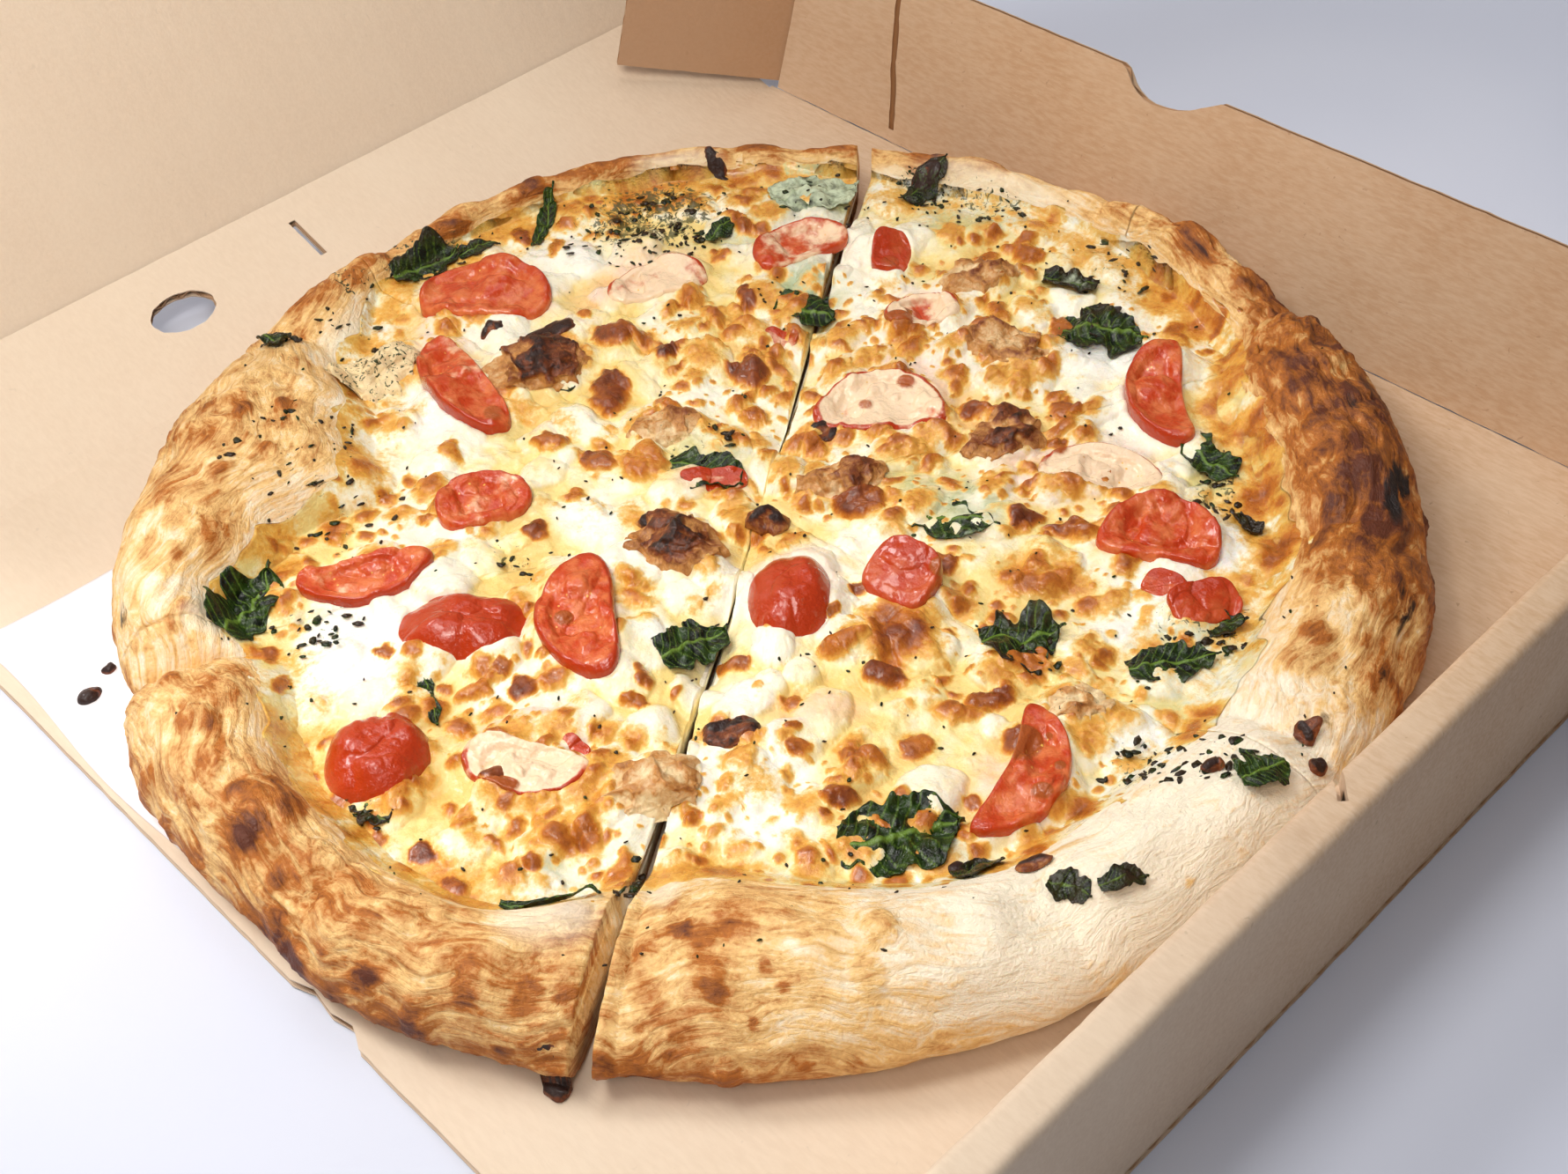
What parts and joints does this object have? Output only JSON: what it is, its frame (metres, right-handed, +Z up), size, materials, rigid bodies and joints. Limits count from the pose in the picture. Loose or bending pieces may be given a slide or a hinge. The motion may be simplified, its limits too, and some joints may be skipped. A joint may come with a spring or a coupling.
{
  "type": "pizza in its box",
  "caption": "Round pizza cut into slices, with tomato, spinach and chicken, in its opened corrugated board box with a hinged lid.",
  "frame": {"origin": "on the surface that the box stands on, under the middle of the pizza", "axes": "+X to the box's leaning side wall, +Y to the lid, +Z up"},
  "size_m": [0.3743, 0.5557, 0.3647],
  "materials": {
    "kraft_board": "brown corrugated board, plain, matte",
    "greaseproof_paper": "thin white greaseproof sheet",
    "baked_crust": "baked dough, golden to dark brown; stands in for food",
    "melted_cheese": "melted cheese with brown blisters; stands in for food",
    "tomato": "cooked tomato, wet; stands in for food",
    "spinach": "wilted leaf, dark green, wet; stands in for food",
    "roast_chicken": "roast chicken, tan to brown; stands in for food"
  },
  "bodies": {
    "tray": {"tray_floor": "kraft_board", "side_wall": "kraft_board", "front_wall": "kraft_board", "paper": "greaseproof_paper", "dough_1": "baked_crust", "dough_2": "baked_crust", "dough_3": "baked_crust", "dough_4": "baked_crust", "dough_5": "baked_crust", "dough_6": "baked_crust", "cheese_1": "melted_cheese", "cheese_2": "melted_cheese", "cheese_3": "melted_cheese", "cheese_4": "melted_cheese", "cheese_5": "melted_cheese", "cheese_6": "melted_cheese", "tomato_01": "tomato", "tomato_02": "tomato", "tomato_03": "tomato", "tomato_04": "tomato", "tomato_05": "tomato", "tomato_06": "tomato", "tomato_07": "tomato", "tomato_08": "tomato", "tomato_09": "tomato", "tomato_10": "tomato", "tomato_11": "tomato", "tomato_12": "tomato", "tomato_13": "tomato", "tomato_14": "tomato", "tomato_15": "tomato", "tomato_16": "tomato", "tomato_17": "tomato", "tomato_18": "tomato", "tomato_19": "tomato", "tomato_20": "tomato", "spinach_01": "spinach", "spinach_02": "spinach", "spinach_03": "spinach", "spinach_04": "spinach", "spinach_05": "spinach", "spinach_06": "spinach", "spinach_07": "spinach", "spinach_08": "spinach", "spinach_09": "spinach", "spinach_10": "spinach", "spinach_11": "spinach", "chicken_01": "roast_chicken", "chicken_02": "roast_chicken", "chicken_03": "roast_chicken", "chicken_04": "roast_chicken", "chicken_05": "roast_chicken", "chicken_06": "roast_chicken", "chicken_07": "roast_chicken", "chicken_08": "roast_chicken", "chicken_09": "roast_chicken", "chicken_10": "roast_chicken"},
    "rear_wall": {"rear_wall": "kraft_board"},
    "lid": {"lid": "kraft_board"},
    "corner_flap": {"corner_flap": "kraft_board"}
  },
  "joints": [
    {"name": "rear_wall_fold", "type": "hinge", "parent": "tray", "child": "rear_wall", "pos_m": [0, 0.16622, 0.0015], "axis": [1, 0, 0], "range_deg": [-14, 3]},
    {"name": "lid_fold", "type": "hinge", "parent": "rear_wall", "child": "lid", "pos_m": [0, 0.21852, 0.01714], "axis": [1, 0, 0], "range_deg": [-45, 25]},
    {"name": "corner_flap_fold", "type": "hinge", "parent": "tray", "child": "corner_flap", "pos_m": [0.16541, 0.1636, 0.00279], "axis": [0.342, 0, 0.9397], "range_deg": [-4, 36]}
  ]
}
